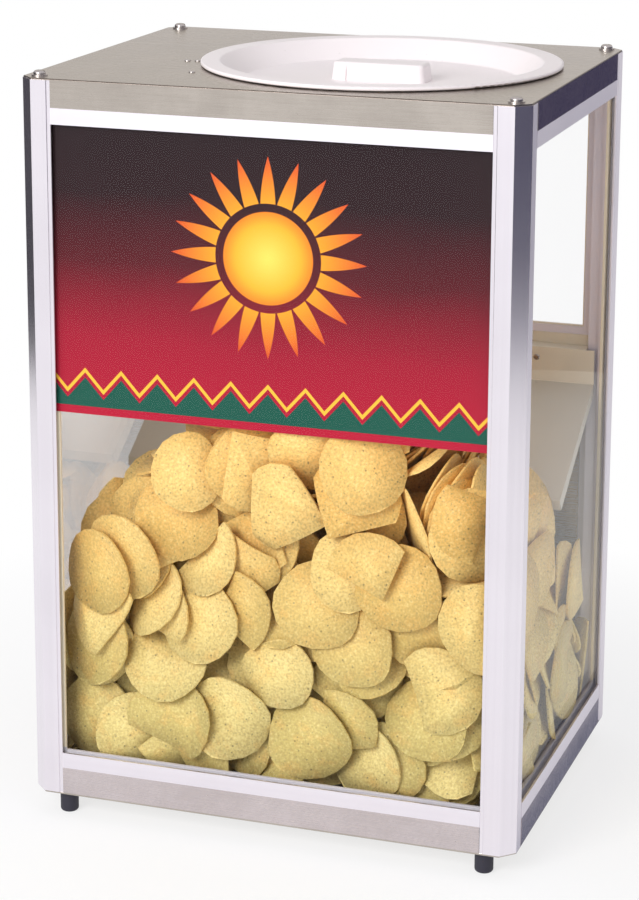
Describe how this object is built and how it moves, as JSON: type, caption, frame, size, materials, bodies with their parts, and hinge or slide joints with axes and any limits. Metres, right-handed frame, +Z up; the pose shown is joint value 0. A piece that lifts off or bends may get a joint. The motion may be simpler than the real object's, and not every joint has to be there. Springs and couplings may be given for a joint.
{
  "type": "chip warmer",
  "caption": "Glazed countertop warmer for tortilla chips: aluminium frame, round lift-off lid, hopper baffle, rear flap door and warm-air unit.",
  "frame": {"origin": "centre of the bounding box on the surface that the feet stand on", "axes": "+Z up, the front with the sign faces -Y, +X to the right seen from the front"},
  "size_m": [0.381, 0.3146, 0.5744],
  "materials": {
    "frame_aluminium": "bright anodised extrusion",
    "stainless_sheet": "brushed stainless sheet",
    "fastener_steel": "bright zinc",
    "foot_rubber": "black rubber",
    "sign_print": "printed panel, dark maroon to crimson",
    "bead_vinyl": "cream vinyl",
    "clear_glass": "clear tempered glass",
    "lid_white": "satin white coating",
    "magnet_plastic": "white nylon case",
    "galvanised_sheet": "galvanised sheet",
    "fan_plastic": "black glass-filled nylon",
    "element_sheath": "heat-tinted sheath",
    "thermostat_resin": "brown phenolic",
    "switch_plastic": "black nylon",
    "gland_nylon": "black nylon"
  },
  "bodies": {
    "cabinet": {"post_front_left": "frame_aluminium", "post_front_right": "frame_aluminium", "post_rear_left": "frame_aluminium", "post_rear_right": "frame_aluminium", "rear_mid_rail": "frame_aluminium", "bottom_rail_rear": "frame_aluminium", "top_rail_front": "frame_aluminium", "top_rail_right": "frame_aluminium", "top_rail_rear": "frame_aluminium", "top_rail_left": "frame_aluminium", "bottom_rail_front": "frame_aluminium", "bottom_rail_left": "frame_aluminium", "bottom_rail_right": "frame_aluminium", "top_deck": "stainless_sheet", "base_pan": "stainless_sheet", "bottom_plate": "stainless_sheet", "post_top_washers": "fastener_steel", "post_top_screws": "fastener_steel", "post_bottom_screws": "fastener_steel", "feet": "foot_rubber", "foot_studs": "fastener_steel", "foot_nuts": "fastener_steel", "sign_panel": "sign_print", "bead_front": "bead_vinyl", "bead_left": "bead_vinyl", "bead_right": "bead_vinyl", "bead_rear": "bead_vinyl", "glass_front": "clear_glass", "glass_left": "clear_glass", "glass_right": "clear_glass", "glass_rear_upper": "clear_glass", "hopper_baffle": "stainless_sheet", "baffle_brackets": "stainless_sheet", "baffle_rivets": "fastener_steel", "door_hinge_rod": "fastener_steel", "magnet_catch": "magnet_plastic", "magnet_screws": "fastener_steel", "unit_bracket": "galvanised_sheet", "unit_cover": "galvanised_sheet", "unit_cover_screws": "fastener_steel", "unit_rivets": "fastener_steel", "fan_frame": "fan_plastic", "fan_screws": "fastener_steel", "heating_element": "element_sheath", "element_supports": "galvanised_sheet", "limit_thermostat": "thermostat_resin", "switch_body": "switch_plastic", "cord_gland": "gland_nylon", "gland_nut": "gland_nylon"},
    "lid": {"lid": "lid_white", "lid_handle": "lid_white", "lid_handle_screws": "fastener_steel"},
    "door": {"service_door": "stainless_sheet", "door_pull": "stainless_sheet", "door_pull_screws": "fastener_steel"},
    "fan": {"fan_rotor": "fan_plastic"},
    "rocker": {"switch_rocker": "switch_plastic"}
  },
  "joints": [
    {"name": "lid_lift", "type": "slide", "parent": "cabinet", "child": "lid", "axis": [0, 0, 1], "range_m": [0, 0.15]},
    {"name": "door_swing", "type": "hinge", "parent": "cabinet", "child": "door", "pos_m": [0, 0.14003, 0.32323], "axis": [1, 0, 0], "range_deg": [0, 95]},
    {"name": "fan_spin", "type": "hinge", "parent": "cabinet", "child": "fan", "pos_m": [-0.1255, -0.0861, 0.521], "axis": [0, 1, 0], "continuous": true},
    {"name": "rocker_tilt", "type": "hinge", "parent": "cabinet", "child": "rocker", "pos_m": [-0.1385, 0.1435, 0.5592], "axis": [0, 0, 1], "range_deg": [-20, 0]}
  ]
}
